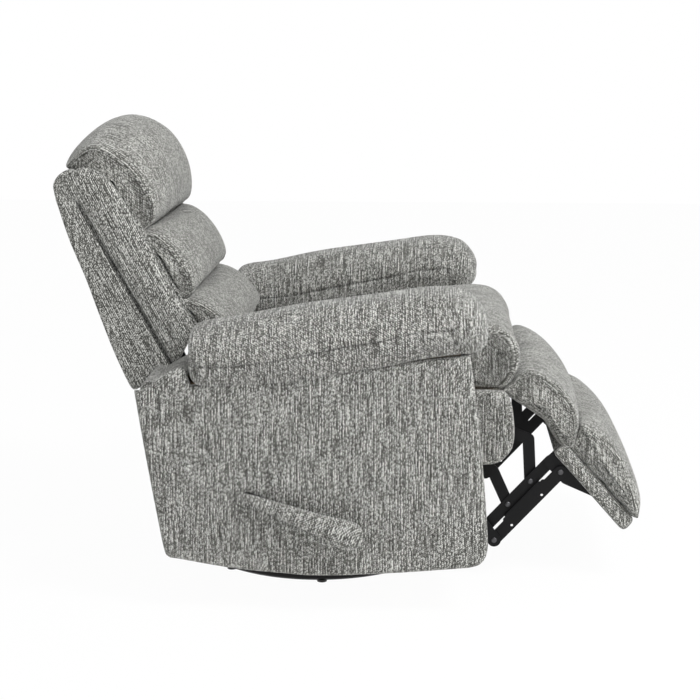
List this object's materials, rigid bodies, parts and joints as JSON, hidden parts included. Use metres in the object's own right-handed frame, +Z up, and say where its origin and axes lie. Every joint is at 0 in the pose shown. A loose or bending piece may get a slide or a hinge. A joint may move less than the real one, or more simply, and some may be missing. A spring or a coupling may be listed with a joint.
{
  "type": "swivel glider recliner",
  "caption": "Upholstered recliner on a swivel glider base, with a reclining tiered back, a lever and a lifting footrest shown half open.",
  "frame": {"origin": "on the floor, below the swivel axis", "axes": "+Z up, the chair faces -Y, +X is the sitter's left"},
  "size_m": [0.9882, 1.2746, 0.9928],
  "materials": {
    "black_steel": "semi-gloss black paint",
    "zinc_steel": "dull zinc plating",
    "spring_wire": "oiled spring wire",
    "glide_plastic": "moulded glides",
    "hardwood": "sawn board",
    "webbing": "woven elastic",
    "panel_cloth": "ribbed heathered weave over board",
    "cushion_cloth": "heathered weave over foam"
  },
  "bodies": {
    "base": {"base_ring": "black_steel", "base_feet": "glide_plastic", "base_spider": "black_steel", "swivel_lower_plate": "zinc_steel", "king_bolt": "zinc_steel"},
    "turntable": {"swivel_upper_plate": "zinc_steel", "glider_stand_right": "black_steel", "glider_stand_left": "black_steel"},
    "front_glide": {"front_glide_link_right": "black_steel", "front_glide_link_left": "black_steel"},
    "rear_glide": {"rear_glide_link_right": "black_steel", "rear_glide_link_left": "black_steel"},
    "seat_unit": {"carriage_rail_right": "black_steel", "carriage_rail_left": "black_steel", "cross_members": "black_steel", "side_plate_right": "black_steel", "side_plate_left": "black_steel", "seat_frame": "hardwood", "seat_springs": "spring_wire", "seat_cushion": "cushion_cloth", "front_rail_pad": "panel_cloth", "arm_frame_right": "hardwood", "arm_frame_left": "hardwood", "outer_panel_right": "panel_cloth", "outer_panel_left": "panel_cloth", "inner_panel_right": "panel_cloth", "inner_panel_left": "panel_cloth", "arm_front_right": "panel_cloth", "arm_front_left": "panel_cloth", "arm_pad_right": "cushion_cloth", "arm_pad_left": "cushion_cloth", "rear_panel": "panel_cloth"},
    "back": {"back_frame": "hardwood", "back_brackets": "black_steel", "back_webbing": "webbing", "back_outside_panel": "panel_cloth", "back_border_right": "panel_cloth", "back_border_left": "panel_cloth", "head_pillow": "cushion_cloth", "middle_pillow": "cushion_cloth", "lumbar_pillow": "cushion_cloth"},
    "lever": {"drive_tube": "black_steel", "lever_handle": "black_steel", "lever_grip": "cushion_cloth"},
    "lift": {"lift_links": "black_steel"},
    "upper_reach": {"upper_links": "black_steel"},
    "lower_reach": {"lower_links": "black_steel"},
    "brace": {"brace_links": "black_steel"},
    "knee": {"knee_links": "black_steel"},
    "drive": {"drive_links": "black_steel"},
    "footrest": {"footrest_board": "panel_cloth", "footrest_pad": "cushion_cloth", "footrest_brackets": "black_steel", "footrest_tube": "black_steel", "chaise_pad": "cushion_cloth"}
  },
  "joints": [
    {"name": "swivel", "type": "hinge", "parent": "base", "child": "turntable", "pos_m": [0, 0, 0], "axis": [0, 0, 1], "continuous": true},
    {"name": "glide", "type": "hinge", "parent": "turntable", "child": "front_glide", "pos_m": [0, -0.12, 0.165], "axis": [-1, 0, 0], "range_deg": [-16, 16]},
    {"name": "rear_glide_swing", "type": "hinge", "parent": "turntable", "child": "rear_glide", "pos_m": [0, 0.12, 0.165], "axis": [-1, 0, 0], "range_deg": [-16, 16]},
    {"name": "carriage_swing", "type": "hinge", "parent": "front_glide", "child": "seat_unit", "pos_m": [0, -0.12, 0.065], "axis": [-1, 0, 0], "range_deg": [-16, 16]},
    {"name": "recline", "type": "hinge", "parent": "seat_unit", "child": "back", "pos_m": [0, 0.26, 0.39], "axis": [-1, 0, 0], "range_deg": [0, 28]},
    {"name": "footrest_lift", "type": "hinge", "parent": "seat_unit", "child": "footrest", "pos_m": [0, -0.43, 0.4], "axis": [-1, 0, 0], "range_deg": [-38, 38], "deforming": ["chaise_pad"]},
    {"name": "lift_swing", "type": "hinge", "parent": "seat_unit", "child": "lift", "pos_m": [0, -0.288, 0.242], "axis": [-1, 0, 0], "range_deg": [-38, 38]},
    {"name": "brace_swing", "type": "hinge", "parent": "seat_unit", "child": "brace", "pos_m": [0, -0.33912, 0.29888], "axis": [-1, 0, 0], "range_deg": [-38, 38]},
    {"name": "knee_swing", "type": "hinge", "parent": "seat_unit", "child": "knee", "pos_m": [0, -0.3874, 0.3526], "axis": [-1, 0, 0], "range_deg": [-38, 38]},
    {"name": "lever_turn", "type": "hinge", "parent": "seat_unit", "child": "lever", "pos_m": [0, 0.115, 0.255], "axis": [-1, 0, 0], "range_deg": [-38, 38]},
    {"name": "upper_reach_swing", "type": "hinge", "parent": "lift", "child": "upper_reach", "pos_m": [0, -0.381, 0.113], "axis": [-1, 0, 0], "range_deg": [-38, 38]},
    {"name": "lower_reach_swing", "type": "hinge", "parent": "lift", "child": "lower_reach", "pos_m": [0, -0.403, 0.09], "axis": [-1, 0, 0], "range_deg": [-38, 38]},
    {"name": "drive_swing", "type": "hinge", "parent": "lift", "child": "drive", "pos_m": [0, -0.278, 0.286], "axis": [-1, 0, 0], "range_deg": [-38, 38]}
  ],
  "couplings": [
    {"joint": "rear_glide_swing", "follows": "glide", "ratio": 1},
    {"joint": "carriage_swing", "follows": "glide", "ratio": -1},
    {"joint": "lift_swing", "follows": "footrest_lift", "ratio": 1},
    {"joint": "brace_swing", "follows": "footrest_lift", "ratio": 1},
    {"joint": "knee_swing", "follows": "footrest_lift", "ratio": 1},
    {"joint": "lever_turn", "follows": "footrest_lift", "ratio": 1},
    {"joint": "upper_reach_swing", "follows": "footrest_lift", "ratio": -1},
    {"joint": "lower_reach_swing", "follows": "footrest_lift", "ratio": -1},
    {"joint": "drive_swing", "follows": "footrest_lift", "ratio": -1}
  ]
}
